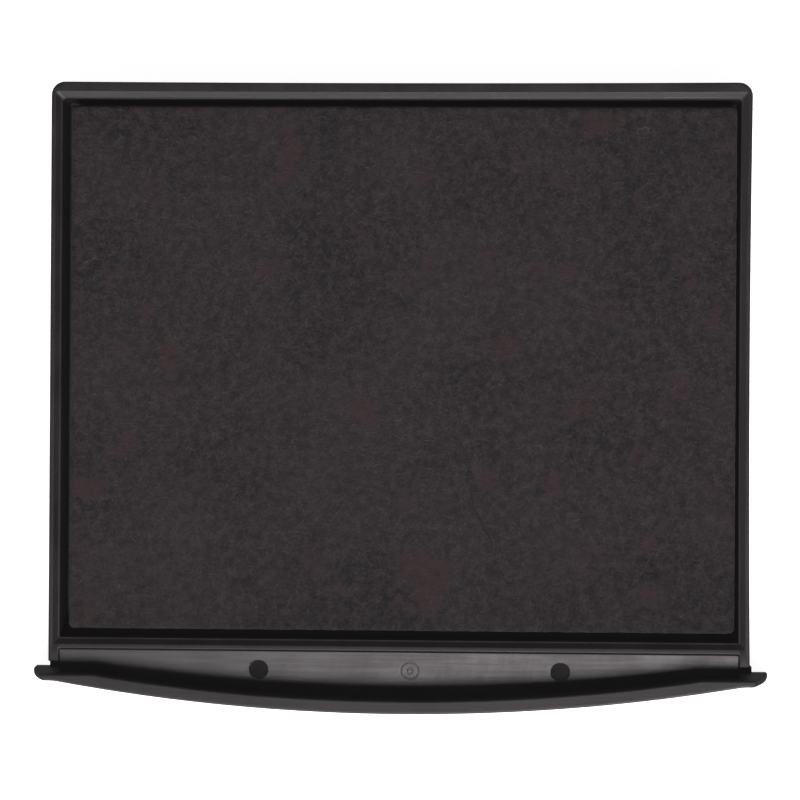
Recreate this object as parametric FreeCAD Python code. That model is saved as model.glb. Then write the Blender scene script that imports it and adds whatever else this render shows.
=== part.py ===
"""Slide-in ink-pad cassette: a moulded tray, a clip-on front grip, and the pad that the tray holds.

Millimetres. +X is to the right, -Y is the grip's side (the front), +Z is up.
The origin is the middle of the underside, on the surface that the cassette stands on.
"""

import FreeCAD, Part
import os

from FreeCAD import Vector

# ---- driving dimensions ----

# how far a cutter passes the face that it cuts, and how far a wall runs into the one that it joins
OVERCUT = 1.0
SINK = 0.2

# tray
TRAY_WIDTH = 78.0
TRAY_HEIGHT = 7.5
BACK_EDGE = 35.0
CROSSBAR_FRONT = -28.28
TAB_LENGTH = 1.44
CORNER_RADIUS = 1.5
SIDE_RIM = 0.5
BACK_RIM = 1.1
CROSSBAR_RIM = 0.54
RIM_CHAMFER = 0.5
LEDGE = 0.2
RECESS_FLOOR = 2.2
RECESS_RADIUS = 0.4
EDGE_ROUND = 0.15
BASE_BORDER = 2.4
BASE_RELIEF = 0.8
BASE_RIB = 0.9
RELIEF_RADIUS = 0.8

# front grip
GRIP_HEIGHT = 9.8
GRIP_FRONT = -35.0
GRIP_OUTER_RADIUS = 220.0
GRIP_THICKNESS = 1.5
WING_BACK = -30.92
WING_TIP_THICKNESS = 0.76
WING_ARC_HALF = 38.1
KINK_HALF = 33.5
WING_HALF_BASE = 41.6
WING_HALF_MIDDLE = 41.05
WING_HALF_TOP = 39.5
GRIP_ROUND = 0.25
TROUGH_HALF = 37.75
TROUGH_BACK = 7.3
TROUGH_DROP = 1.15
TROUGH_PLATE = 1.3
SEAM_GROOVE = 0.16
WEB = 1.0
WEB_COUNT = 5
SHOULDER_HALF = 39.75
SHOULDER_HEIGHT = 2.0
SHOULDER_CUT = 0.4
SHOULDER_GAP = 0.05
MARK_RADIUS = 1.05
MARK_OFFSET = 1.3
MARK_PITCH = 16.8
MARK_Y = -30.48
MARK_DEPTH = 0.12
MARK_RING_LINE = 0.22
MARK_DOT_RADIUS = 0.3

# snap tongues that hold the grip to the tray
TONGUE_X = 20.0
TONGUE_WIDTH = 8.0
TONGUE_REACH = 6.5
TONGUE_THICKNESS = 0.6
TONGUE_CLEARANCE = 0.1
PIP_RADIUS = 0.9
PIP_HEIGHT = 0.7
PIP_SINK = 0.05

# pad
PAD_CENTRE_X = 0.25
PAD_WIDTH = 74.2
PAD_BACK = 32.4
PAD_FRONT = -26.08
PAD_TOP = 6.9
PAD_CORNER = 0.6
PAD_EDGE = 0.4
COVER_TOP = 1.2
COVER_SKIRT = 0.8
FILM_THICKNESS = 0.1
FILM_INSET = 1.0

# ---- sizes worked out from them ----

HALF = TRAY_WIDTH / 2
SIDE_WALL = SIDE_RIM + RIM_CHAMFER + LEDGE
RECESS_HALF = HALF - SIDE_WALL
RECESS_BACK = BACK_EDGE - BACK_RIM - RIM_CHAMFER - LEDGE
RECESS_FRONT = CROSSBAR_FRONT + CROSSBAR_RIM + RIM_CHAMFER + LEDGE
TAB_FRONT = CROSSBAR_FRONT - TAB_LENGTH
LEDGE_TOP = TRAY_HEIGHT - RIM_CHAMFER
TROUGH_FRONT = TROUGH_BACK - TROUGH_DROP
GRIP_INNER_APEX = GRIP_FRONT + GRIP_THICKNESS
FELT_RADIUS = max(PAD_CORNER - COVER_SKIRT, 0)


# ---- small helpers ----


def block(x_low, x_high, y_low, y_high, z_low, z_high):
    """A box between two corners."""
    return Part.makeBox(
        x_high - x_low, y_high - y_low, z_high - z_low, Vector(x_low, y_low, z_low)
    )


def rounded_outline(x_low, x_high, y_low, y_high, z, back_radius, front_radius):
    """A closed rectangle at height z with round corners; a radius of 0 keeps the corner sharp."""
    corners = [
        (x_low, y_low, 1, 1, front_radius),
        (x_high, y_low, -1, 1, front_radius),
        (x_high, y_high, -1, -1, back_radius),
        (x_low, y_high, 1, -1, back_radius),
    ]
    edges = []
    ends = []
    for index, (x, y, towards_x, towards_y, radius) in enumerate(corners):
        along_x = Vector(x + towards_x * radius, y, z)
        along_y = Vector(x, y + towards_y * radius, z)
        arrives, leaves = (along_y, along_x) if index % 2 == 0 else (along_x, along_y)
        if radius > 0:
            short = radius * (1 - 0.5**0.5)
            middle = Vector(x + towards_x * short, y + towards_y * short, z)
            edges.append(Part.Arc(arrives, middle, leaves).toShape())
        ends.append((arrives, leaves))
    for index in range(4):
        start = ends[index][1]
        end = ends[(index + 1) % 4][0]
        edges.append(Part.LineSegment(start, end).toShape())
    return Part.Wire(Part.__sortEdges__(edges))


def prism(wire, height):
    """A solid that stands on a flat closed outline."""
    return Part.Face(wire).extrude(Vector(0, 0, height))


def round_edges(solid, radius, chosen):
    """Rounds the edges for which chosen(edge) is true."""
    edges = [edge for edge in solid.Edges if chosen(edge)]
    return solid.makeFillet(radius, edges)


def lies_at(edge, height):
    """True for an edge that lies flat at one height."""
    box = edge.BoundBox
    return abs(box.ZMin - height) < 1e-4 and abs(box.ZMax - height) < 1e-4


def join(solids):
    """One solid from several that touch or overlap."""
    return solids[0].multiFuse(solids[1:]).removeSplitter()


def tongue_places():
    """The middle of each snap tongue across the width."""
    return (-TONGUE_X, TONGUE_X)


# ---- tray ----


def tray_outer():
    """The outside of the tray, with the two side tabs that reach past the crossbar."""
    body = prism(
        rounded_outline(-HALF, HALF, CROSSBAR_FRONT, BACK_EDGE, 0, CORNER_RADIUS, 0),
        TRAY_HEIGHT,
    )
    tabs = [
        block(low, low + SIDE_WALL, TAB_FRONT, CROSSBAR_FRONT, 0, TRAY_HEIGHT)
        for low in (-HALF, HALF - SIDE_WALL)
    ]
    solid = join([body] + tabs)
    return round_edges(
        solid, EDGE_ROUND, lambda edge: lies_at(edge, TRAY_HEIGHT) or lies_at(edge, 0)
    )


def recess_outline(grow, z, radius):
    """The recess's outline, grown outwards by a distance."""
    return rounded_outline(
        -RECESS_HALF - grow,
        RECESS_HALF + grow,
        RECESS_FRONT - grow,
        RECESS_BACK + grow,
        z,
        radius,
        radius,
    )


def tray_recess():
    """The space for the pad: straight walls, a narrow ledge, and a chamfer up to the rim."""
    walls = prism(recess_outline(0, RECESS_FLOOR, RECESS_RADIUS), TRAY_HEIGHT)
    ledge = recess_outline(LEDGE, LEDGE_TOP, RECESS_RADIUS)
    over = RIM_CHAMFER / 5
    top = recess_outline(LEDGE + RIM_CHAMFER + over, TRAY_HEIGHT + over, RECESS_RADIUS)
    chamfer = Part.makeLoft([ledge, top], True, True)
    return walls.fuse(chamfer)


def tray_underside():
    """The shallow relief under the tray, crossed by stiffening ribs that are level with the border."""
    low_x = -HALF + BASE_BORDER
    high_x = HALF - BASE_BORDER
    low_y = CROSSBAR_FRONT + BASE_BORDER
    high_y = BACK_EDGE - BASE_BORDER
    relief = prism(
        rounded_outline(low_x, high_x, low_y, high_y, 0, RELIEF_RADIUS, RELIEF_RADIUS),
        BASE_RELIEF,
    )
    ribs = []
    for share in (1 / 3, 2 / 3):
        x = low_x + share * (high_x - low_x)
        ribs.append(block(x - BASE_RIB / 2, x + BASE_RIB / 2, low_y, high_y, 0, BASE_RELIEF))
    y = (low_y + high_y) / 2
    ribs.append(block(low_x, high_x, y - BASE_RIB / 2, y + BASE_RIB / 2, 0, BASE_RELIEF))
    return relief.cut(join(ribs))


def tongue_pocket(x):
    """The way through the front border for one snap tongue, with the hole for its pip."""
    half = TONGUE_WIDTH / 2 + TONGUE_CLEARANCE
    way = block(
        x - half,
        x + half,
        CROSSBAR_FRONT - OVERCUT,
        CROSSBAR_FRONT + BASE_BORDER + TONGUE_CLEARANCE,
        -OVERCUT,
        BASE_RELIEF,
    )
    hole = Part.makeCylinder(
        PIP_RADIUS + TONGUE_CLEARANCE,
        PIP_HEIGHT + TONGUE_CLEARANCE,
        Vector(x, pip_y(), BASE_RELIEF),
    )
    return way.fuse(hole)


def pip_y():
    """How far back the pip of a snap tongue stands."""
    return CROSSBAR_FRONT + TONGUE_REACH - 2 * PIP_RADIUS


def make_tray():
    tray = tray_outer().cut(tray_recess()).cut(tray_underside())
    for x in tongue_places():
        tray = tray.cut(tongue_pocket(x))
    return tray


# ---- front grip ----


def arc_y(x, radius, apex):
    """The y of an arc that bows to the front, at a distance x from the middle."""
    return apex + radius - (radius**2 - x**2) ** 0.5


def fascia_plan():
    """The curved front plate from above: two arcs, straight backs to the wings and thin tips."""
    half = WING_HALF_BASE
    tip_front = arc_y(WING_ARC_HALF, GRIP_OUTER_RADIUS, GRIP_FRONT)
    left_back = Vector(-half, WING_BACK, 0)
    left_kink = Vector(-KINK_HALF, WING_BACK, 0)
    right_kink = Vector(KINK_HALF, WING_BACK, 0)
    right_back = Vector(half, WING_BACK, 0)
    right_tip = Vector(half, WING_BACK - WING_TIP_THICKNESS, 0)
    right_arc = Vector(WING_ARC_HALF, tip_front, 0)
    left_arc = Vector(-WING_ARC_HALF, tip_front, 0)
    left_tip = Vector(-half, WING_BACK - WING_TIP_THICKNESS, 0)
    edges = [
        Part.LineSegment(left_back, left_kink),
        Part.Arc(left_kink, Vector(0, GRIP_INNER_APEX, 0), right_kink),
        Part.LineSegment(right_kink, right_back),
        Part.LineSegment(right_back, right_tip),
        Part.LineSegment(right_tip, right_arc),
        Part.Arc(right_arc, Vector(0, GRIP_FRONT, 0), left_arc),
        Part.LineSegment(left_arc, left_tip),
        Part.LineSegment(left_tip, left_back),
    ]
    return Part.Wire([edge.toShape() for edge in edges])


def fascia_elevation():
    """The front plate from the front: a flat base and top, and sides that lean in and round over."""
    back = WING_BACK + OVERCUT
    base_left = Vector(-WING_HALF_BASE, back, 0)
    base_right = Vector(WING_HALF_BASE, back, 0)
    top_left = Vector(-WING_HALF_TOP, back, GRIP_HEIGHT)
    top_right = Vector(WING_HALF_TOP, back, GRIP_HEIGHT)
    middle_left = Vector(-WING_HALF_MIDDLE, back, GRIP_HEIGHT / 2)
    middle_right = Vector(WING_HALF_MIDDLE, back, GRIP_HEIGHT / 2)
    edges = [
        Part.LineSegment(base_left, base_right),
        Part.Arc(base_right, middle_right, top_right),
        Part.LineSegment(top_right, top_left),
        Part.Arc(top_left, middle_left, base_left),
    ]
    wire = Part.Wire([edge.toShape() for edge in edges])
    return Part.Face(wire).extrude(Vector(0, GRIP_FRONT - back - OVERCUT, 0))


def make_fascia():
    plate = round_edges(
        prism(fascia_plan(), GRIP_HEIGHT),
        GRIP_ROUND,
        lambda edge: lies_at(edge, GRIP_HEIGHT) and edge.BoundBox.XLength > WING_TIP_THICKNESS,
    )
    return plate.common(fascia_elevation())


def trough_section(thickness):
    """The trough plate from the side: it falls towards the front and has a small step at the seam."""
    back = CROSSBAR_FRONT
    front = GRIP_INNER_APEX - SINK
    points = [
        Vector(-TROUGH_HALF, back, TROUGH_BACK - thickness),
        Vector(-TROUGH_HALF, back, TROUGH_BACK - SEAM_GROOVE),
        Vector(-TROUGH_HALF, back - SEAM_GROOVE, TROUGH_BACK),
        Vector(-TROUGH_HALF, front, TROUGH_FRONT),
        Vector(-TROUGH_HALF, front, TROUGH_FRONT - thickness),
    ]
    return Part.Face(Part.makePolygon(points + points[:1])).extrude(Vector(2 * TROUGH_HALF, 0, 0))


def fascia_back_region(z_high):
    """Everything behind the front plate's middle line, as a cutter for the trough and its webs."""
    edge = GRIP_THICKNESS / 2
    half = TROUGH_HALF + OVERCUT
    left = Vector(-half, arc_y(half, GRIP_OUTER_RADIUS, GRIP_FRONT + edge), -OVERCUT)
    right = Vector(half, left.y, -OVERCUT)
    back = CROSSBAR_FRONT + OVERCUT
    right_back = Vector(half, back, -OVERCUT)
    left_back = Vector(-half, back, -OVERCUT)
    edges = [
        Part.Arc(left, Vector(0, GRIP_FRONT + edge, -OVERCUT), right),
        Part.LineSegment(right, right_back),
        Part.LineSegment(right_back, left_back),
        Part.LineSegment(left_back, left),
    ]
    return prism(Part.Wire([each.toShape() for each in edges]), z_high + OVERCUT)


def trough_webs():
    """The rear wall under the trough and the ribs that tie it to the front plate."""
    low = TROUGH_FRONT - TROUGH_PLATE
    rear_top = TROUGH_BACK - TROUGH_PLATE
    webs = [block(-TROUGH_HALF, TROUGH_HALF, CROSSBAR_FRONT - WEB, CROSSBAR_FRONT, 0, rear_top)]
    for index in range(WEB_COUNT):
        x = -TROUGH_HALF + WEB / 2 + index * (2 * TROUGH_HALF - WEB) / (WEB_COUNT - 1)
        rib = block(x - WEB / 2, x + WEB / 2, GRIP_FRONT, CROSSBAR_FRONT - WEB, 0, low + SINK)
        webs.append(rib)
    return webs


def make_shoulder(side):
    """The low block that joins a wing's root to the trough, just past the tray's side tab."""
    inner = TROUGH_HALF - WEB
    front = WING_BACK - SINK
    back = TAB_FRONT - SHOULDER_GAP
    points = [
        Vector(side * inner, front, 0),
        Vector(side * SHOULDER_HALF, front, 0),
        Vector(side * SHOULDER_HALF, back - SHOULDER_CUT, 0),
        Vector(side * (SHOULDER_HALF - SHOULDER_CUT), back, 0),
        Vector(side * inner, back, 0),
    ]
    return Part.Face(Part.makePolygon(points + points[:1])).extrude(Vector(0, 0, SHOULDER_HEIGHT))


def make_tongue(x):
    """A flat spring tongue under the tray's floor, with a round pip that clicks into it."""
    half = TONGUE_WIDTH / 2
    top = BASE_RELIEF - TONGUE_CLEARANCE / 2
    blade = block(
        x - half,
        x + half,
        CROSSBAR_FRONT - WEB / 2,
        CROSSBAR_FRONT + TONGUE_REACH,
        top - TONGUE_THICKNESS,
        top,
    )
    pip = Part.makeCylinder(PIP_RADIUS, PIP_HEIGHT, Vector(x, pip_y(), top - PIP_SINK))
    return blade.fuse(pip)


def trough_marks():
    """Round mould marks in the trough: two flat pin marks and one plain ring between them."""
    slope = TROUGH_DROP / (CROSSBAR_FRONT - SEAM_GROOVE - GRIP_INNER_APEX + SINK)
    surface = TROUGH_BACK - (CROSSBAR_FRONT - SEAM_GROOVE - MARK_Y) * slope
    lowest = surface - MARK_RADIUS * slope - MARK_DEPTH / 2
    pins = [
        Part.makeCylinder(MARK_RADIUS, OVERCUT, Vector(MARK_OFFSET + side * MARK_PITCH, MARK_Y, lowest))
        for side in (-1, 1)
    ]
    upright = Vector(0, -slope, 1)
    sunk = Vector(MARK_OFFSET, MARK_Y, surface) - upright * MARK_DEPTH
    ring = Part.makeCylinder(MARK_RADIUS, OVERCUT, sunk, upright)
    ring = ring.cut(Part.makeCylinder(MARK_RADIUS - MARK_RING_LINE, OVERCUT, sunk, upright))
    dot = Part.makeCylinder(MARK_DOT_RADIUS, OVERCUT, sunk, upright)
    return pins + [ring, dot]


def make_front_grip():
    trough = trough_section(TROUGH_PLATE)
    floor = join([trough] + trough_webs()).common(fascia_back_region(GRIP_HEIGHT))
    parts = [make_fascia(), floor]
    parts += [make_shoulder(side) for side in (-1, 1)]
    parts += [make_tongue(x) for x in tongue_places()]
    grip = join(parts)
    for mark in trough_marks():
        grip = grip.cut(mark)
    return grip


# ---- pad ----


def pad_block(inset, z_low, z_high, radius):
    """A block with the pad's outline, drawn in by an inset."""
    half = PAD_WIDTH / 2 - inset
    wire = rounded_outline(
        PAD_CENTRE_X - half,
        PAD_CENTRE_X + half,
        PAD_FRONT + inset,
        PAD_BACK - inset,
        z_low,
        radius,
        radius,
    )
    return prism(wire, z_high - z_low)


def make_felt_reservoir():
    return pad_block(COVER_SKIRT, RECESS_FLOOR + FILM_THICKNESS, PAD_TOP - COVER_TOP, FELT_RADIUS)


def make_inking_fleece():
    cover = pad_block(0, RECESS_FLOOR, PAD_TOP, PAD_CORNER)
    cover = round_edges(cover, PAD_EDGE, lambda edge: lies_at(edge, PAD_TOP))
    hollow = pad_block(COVER_SKIRT, RECESS_FLOOR, PAD_TOP - COVER_TOP, FELT_RADIUS)
    return cover.cut(hollow)


def make_bonding_film():
    return pad_block(
        COVER_SKIRT + FILM_INSET, RECESS_FLOOR, RECESS_FLOOR + FILM_THICKNESS, PAD_CORNER
    )


# ---- write every piece ----

PIECES = {
    "tray": make_tray,
    "front_grip": make_front_grip,
    "bonding_film": make_bonding_film,
    "felt_reservoir": make_felt_reservoir,
    "inking_fleece": make_inking_fleece,
}

os.makedirs("parts", exist_ok=True)
for name, make in PIECES.items():
    shape = make()
    solids = shape.Solids
    if len(solids) != 1 or not shape.isValid():
        raise ValueError(f"{name} is not one valid solid: {len(solids)} solids")
    shape = solids[0]
    shape.exportStep(f"parts/{name}.step")
    box = shape.optimalBoundingBox(False)
    print(
        f"{name}: {shape.Volume:.1f} mm3, x {box.XMin:.2f}..{box.XMax:.2f}, "
        f"y {box.YMin:.2f}..{box.YMax:.2f}, z {box.ZMin:.2f}..{box.ZMax:.2f}"
    )
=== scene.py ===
"""Slide-in ink-pad cassette: a moulded tray, its clip-on front grip, and the inked pad that the tray holds.

Metres. +X is to the right, -Y is the grip's side, +Z is up, and the origin is the middle of the underside.
Every piece is put in place in its own mesh, so each object stays at the origin.
"""

from math import radians

import bpy
import numpy as np
from bpy.props import FloatProperty, FloatVectorProperty, IntProperty, PointerProperty
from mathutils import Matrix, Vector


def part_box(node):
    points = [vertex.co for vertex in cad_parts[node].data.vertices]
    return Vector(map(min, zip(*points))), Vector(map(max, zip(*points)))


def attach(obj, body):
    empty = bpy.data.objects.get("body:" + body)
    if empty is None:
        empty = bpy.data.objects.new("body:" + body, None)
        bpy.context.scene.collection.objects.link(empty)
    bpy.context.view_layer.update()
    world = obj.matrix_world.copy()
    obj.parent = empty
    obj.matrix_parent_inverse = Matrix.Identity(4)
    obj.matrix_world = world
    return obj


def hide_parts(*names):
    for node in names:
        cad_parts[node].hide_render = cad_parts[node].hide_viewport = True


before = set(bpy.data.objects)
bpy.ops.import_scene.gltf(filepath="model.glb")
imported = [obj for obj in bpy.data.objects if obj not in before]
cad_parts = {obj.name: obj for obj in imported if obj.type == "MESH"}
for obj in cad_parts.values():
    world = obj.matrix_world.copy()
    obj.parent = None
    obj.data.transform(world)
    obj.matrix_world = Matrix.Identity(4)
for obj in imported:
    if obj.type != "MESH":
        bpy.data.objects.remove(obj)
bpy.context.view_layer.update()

bl_info = {
    "name": "Ink-pad cassette",
    "version": (1, 0, 0),
    "blender": (4, 5, 0),
    "location": "View3D > Sidebar > Ink Pad",
    "description": "Builds a slide-in ink-pad cassette from its packed frame",
    "category": "Add Mesh",
}

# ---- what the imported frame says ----

TRAY_LOW, TRAY_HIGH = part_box("tray")
GRIP_LOW, GRIP_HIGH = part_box("front_grip")
FLEECE_LOW, FLEECE_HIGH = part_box("inking_fleece")
FELT_LOW, FELT_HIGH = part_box("felt_reservoir")

SHARP = radians(38)  # edges that turn more than this stay crisp
WEB_EDGE = 0.00008  # the rounding of webs and tongues
OVERLAP = 0.0001  # how far one shell of a piece runs into the next
HAIR_COLOUR = (0.0012, 0.0010, 0.0011)
POLISHED = "polished_mark"  # the point attribute that is 1 where the mould was polished


# ---- sizes and colours that a user may change ----


def length(description, default):
    """A length in the panel."""
    return FloatProperty(description=description, default=default, unit="LENGTH")


def tone(description, default):
    """A colour in the panel."""
    return FloatVectorProperty(description=description, default=default, subtype="COLOR", size=3, min=0, max=1)


class TraySizes(bpy.types.PropertyGroup):
    side_rim: length("Width of the flat on the side walls", 0.0005)
    back_rim: length("Width of the flat on the back wall", 0.0011)
    bar_rim: length("Width of the flat on the crossbar", 0.00054)
    chamfer: length("Width and depth of the slope inside the rim", 0.0005)
    ledge: length("Width of the step under the slope", 0.0002)
    tab_length: length("How far the side tabs pass the crossbar", 0.00144)
    floor_height: length("Height of the floor that the pad lies on", 0.0022)
    corner: length("Radius of the two back corners", 0.0015)
    recess_corner: length("Radius of the recess's corners", 0.0004)
    relief_corner: length("Radius of the relief's corners", 0.0008)
    edge: length("Radius of the outer edges", 0.00015)
    border: length("Width of the border under the tray", 0.0024)
    relief: length("Depth of the relief under the tray", 0.0008)
    rib: length("Thickness of the stiffening ribs", 0.0009)
    side_bow: length("How far the right wall has warped inwards", 0.0002)
    back_bow: length("How far the back wall has warped inwards", 0.00013)


class GripSizes(bpy.types.PropertyGroup):
    outer_radius: length("Radius of the bowed front face", 0.220)
    thickness: length("Thickness of the front plate in the middle", 0.0015)
    wing_back: length("Y of the straight backs of the wings", -0.03092)
    tip_thickness: length("Thickness of a wing at its tip", 0.00076)
    kink_half: length("Half the width between the inner bow's ends", 0.0335)
    half_base: length("Half the plate's width at its foot", 0.0416)
    half_middle: length("Half the plate's width at mid-height", 0.04105)
    half_top: length("Half the plate's width at the top", 0.0395)
    edge: length("Radius of the plate's top edges", 0.00025)
    trough_half: length("Half the trough's width", 0.03775)
    trough_back: length("Height of the trough at the seam", 0.0073)
    trough_drop: length("How far the trough falls to the front plate", 0.00115)
    trough_plate: length("Thickness of the trough's floor", 0.0013)
    seam: length("Radius of the trough's edge at the seam", 0.00016)
    web: length("Thickness of the webs under the trough", 0.001)
    web_count: IntProperty(description="Webs between the trough and the front plate", default=5)
    mark_radius: length("Radius of the round mould marks", 0.00105)
    mark_offset: length("X of the middle mould mark", 0.0013)
    mark_pitch: length("Spacing of the mould marks", 0.0168)
    mark_y: length("Y of the mould marks", -0.03048)
    mark_depth: length("Depth of the mould marks", 0.00006)
    tongue_x: length("Half the distance between the snap tongues", 0.020)
    tongue_width: length("Width of a snap tongue", 0.008)
    tongue_reach: length("How far a tongue reaches under the tray", 0.0065)
    tongue_thickness: length("Thickness of a snap tongue", 0.0006)
    clearance: length("Room round a tongue in its pocket", 0.0001)
    pip_radius: length("Radius of the pip on a tongue", 0.0009)
    pip_height: length("Height of the pip on a tongue", 0.0007)


class PadSizes(bpy.types.PropertyGroup):
    corner: length("Radius of the pad's corners from above", 0.0006)
    roll: length("Radius of the pad's upper edge", 0.0004)
    skin: length("Thickness of the fleece over the felt", 0.0012)
    skirt: length("Thickness of the fleece beside the felt", 0.0008)
    mesh_step: length("Spacing of the fleece's mesh", 0.0003)
    nap: length("Height of the fleece's fine lumps", 0.000012)
    sag: length("Height of the fleece's broad hollows", 0.00003)
    fibre_count: IntProperty(description="Loose fibres on the fleece", default=3600)
    fibre_radius: length("Radius of a loose fibre", 0.000012)
    hair_radius: length("Radius of the one stray hair", 0.00007)


class Finishes(bpy.types.PropertyGroup):
    tray: tone("Colour of the tray's plastic", (0.0095, 0.0082, 0.0090))
    grip: tone("Colour of the grip's plastic", (0.0115, 0.0098, 0.0105))
    fleece_dark: tone("Colour between the fleece's fibres", (0.0020, 0.0016, 0.0018))
    fleece_light: tone("Colour of the fleece's fibres", (0.0375, 0.0310, 0.0328))
    fleece_tint: tone("Colour of the faint warm patches", (0.0325, 0.0180, 0.0205))
    felt: tone("Colour of the felt reservoir", (0.0150, 0.0140, 0.0150))
    film: tone("Colour of the bonding film", (0.42, 0.36, 0.24))
    floor: tone("Colour of the studio floor", (0.86, 0.86, 0.86))


# ---- outlines ----


def bar_front():
    """The y of the crossbar's front face, where the tray meets the trough."""
    return TRAY_LOW.y + bpy.context.scene.cassette_tray.tab_length


def inset(corners, reach, distance, least=0.00004):
    """A closed outline drawn in by a distance. Each corner moves along the sum of its two sides' inward
    normals over one plus their dot product; outer corners get a shorter reach and inner ones a longer."""
    side = np.roll(corners, -1, axis=0) - corners
    side /= np.linalg.norm(side, axis=1, keepdims=True)
    leaves = np.stack([-side[:, 1], side[:, 0]], axis=1)
    arrives = np.roll(leaves, 1, axis=0)
    cosine = (arrives * leaves).sum(axis=1, keepdims=True)
    turn = np.sign(np.round(arrives[:, 0] * leaves[:, 1] - arrives[:, 1] * leaves[:, 0], 6))
    moved = corners + distance * (arrives + leaves) / (1 + cosine)
    return moved, np.maximum(reach - turn * distance, least)


def rounded_loop(corners, reach, steps=8):
    """A closed loop of points round an outline. At each corner it leaves the side at the corner's reach and
    turns on a conic whose middle weight is the sine of half the corner's angle: a square corner becomes an
    exact quarter circle, and a corner of 180 degrees an evenly divided straight run."""
    before = np.roll(corners, 1, axis=0) - corners
    after = np.roll(corners, -1, axis=0) - corners
    before /= np.linalg.norm(before, axis=1, keepdims=True)
    after /= np.linalg.norm(after, axis=1, keepdims=True)
    weight = np.sqrt((1 - (before * after).sum(axis=1)) / 2)[:, None, None]
    start = (corners + before * reach[:, None])[:, None]
    end = (corners + after * reach[:, None])[:, None]
    t = np.linspace(0, 1, steps + 1)[None, :, None]
    middle = 2 * weight * t * (1 - t)
    total = (1 - t) ** 2 * start + middle * corners[:, None] + t**2 * end
    return (total / ((1 - t) ** 2 + middle + t**2)).reshape(-1, 2)


def at_height(loop, z):
    """The loop's points as x, y, z, all at one height."""
    return np.column_stack([loop, np.full(len(loop), z)])


def top_turn(z, radius, steps=4):
    """Pairs of inset and height up a quarter circle that ends flat at a height."""
    angle = np.linspace(0, np.pi / 2, steps + 1)
    return list(zip(radius * (1 - np.cos(angle)), z - radius * (1 - np.sin(angle))))


def foot_turn(z, radius, steps=4):
    """Pairs of inset and height up a quarter circle that starts flat at a height."""
    return [(drawn, 2 * z - height) for drawn, height in top_turn(z, radius, steps)[::-1]]


# ---- closed shells ----


def loft(levels):
    """A closed shell through a stack of loops with equally many points: four-sided faces join each loop to
    the next, and a flat face closes each end. The first loop runs anticlockwise from above, at the foot."""
    levels = np.asarray(levels)
    count, around = levels.shape[:2]
    index = np.arange(count * around).reshape(count, around)
    turned = np.roll(index, -1, axis=1)
    quads = np.stack([index[:-1], turned[:-1], turned[1:], index[1:]], axis=-1).reshape(-1, 4)
    faces = quads.tolist() + [index[0][::-1].tolist(), index[-1].tolist()]
    return levels.reshape(-1, 3), faces


def rounded_block(corners, reach, z_low, z_high, edge, steps=4):
    """An upright block on an outline, with its foot and its top rounded over by quarter circles."""
    stack = foot_turn(z_low, edge, 3) + top_turn(z_high, edge, 3)
    return loft([at_height(rounded_loop(*inset(corners, reach, drawn), steps), z) for drawn, z in stack])


def rectangle(x_low, x_high, y_low, y_high):
    """Four corners, anticlockwise from the front left."""
    return np.array([(x_low, y_low), (x_high, y_low), (x_high, y_high), (x_low, y_high)])


def box_block(x_low, x_high, y_low, y_high, z_low, z_high, edge):
    """A box with every edge rounded."""
    return rounded_block(rectangle(x_low, x_high, y_low, y_high), np.full(4, edge * 1.2), z_low, z_high, edge)


def grid_faces(rows, columns, first=0):
    """The four-sided faces of a grid of points stored row by row, facing up where rows run along x."""
    index = first + np.arange(rows * columns).reshape(rows, columns)
    return np.stack([index[:-1, :-1], index[1:, :-1], index[1:, 1:], index[:-1, 1:]], axis=-1).reshape(-1, 4)


def edge_ring(rows, columns, first=0):
    """The indices round a grid's edge, anticlockwise from above."""
    index = first + np.arange(rows * columns).reshape(rows, columns)
    return np.concatenate([index[:-1, 0], index[-1, :-1], index[:0:-1, -1], index[0, :0:-1]])


def slab(x, y, top, bottom):
    """A closed plate between two height fields on one grid of x and y, joined round the edge."""
    rows, columns = x.shape
    count = rows * columns
    upper = grid_faces(rows, columns)
    lower = grid_faces(rows, columns, count)[:, ::-1]
    ring = edge_ring(rows, columns)
    onward = np.roll(ring, -1)
    wall = np.stack([ring, ring + count, onward + count, onward], axis=-1)
    points = np.concatenate(
        [np.stack([x, y, z], axis=-1).reshape(-1, 3) for z in (top, bottom)]
    )
    return points, np.concatenate([upper, lower, wall]).tolist()


def put_in(name, shells, weighted=True):
    """One mesh object from closed shells, at the origin, with crisp edges kept and broad faces flat."""
    points = []
    faces = []
    first = 0
    for shell_points, shell_faces in shells:
        points.append(shell_points)
        faces += [[first + corner for corner in face] for face in shell_faces]
        first += len(shell_points)
    mesh = bpy.data.meshes.new(name)
    mesh.from_pydata(np.concatenate(points).tolist(), [], faces)
    mesh.update()
    finish_mesh(mesh)
    piece = bpy.data.objects.new(name, mesh)
    bpy.context.scene.collection.objects.link(piece)
    if weighted:
        weigh_normals(piece)
    return piece


def finish_mesh(mesh):
    """Smooth shading, with a sharp edge wherever the surface turns by more than SHARP."""
    mesh.shade_smooth()
    mesh.set_sharp_from_angle(angle=SHARP)


def weigh_normals(piece):
    """Turns each point's normal towards its largest faces, so that flats stay flat beside rounded edges."""
    modifier = piece.modifiers.new("Broad faces flat", "WEIGHTED_NORMAL")
    modifier.keep_sharp = True
    modifier.weight = 80


def declare(piece, node, material):
    """Gives a piece its finish, hangs it from the root body, and hides the imported part that it takes the
    place of, if any.
    """
    piece.data.materials.append(material)
    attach(piece, "root")
    if node:
        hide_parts(node)


# ---- materials ----


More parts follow.
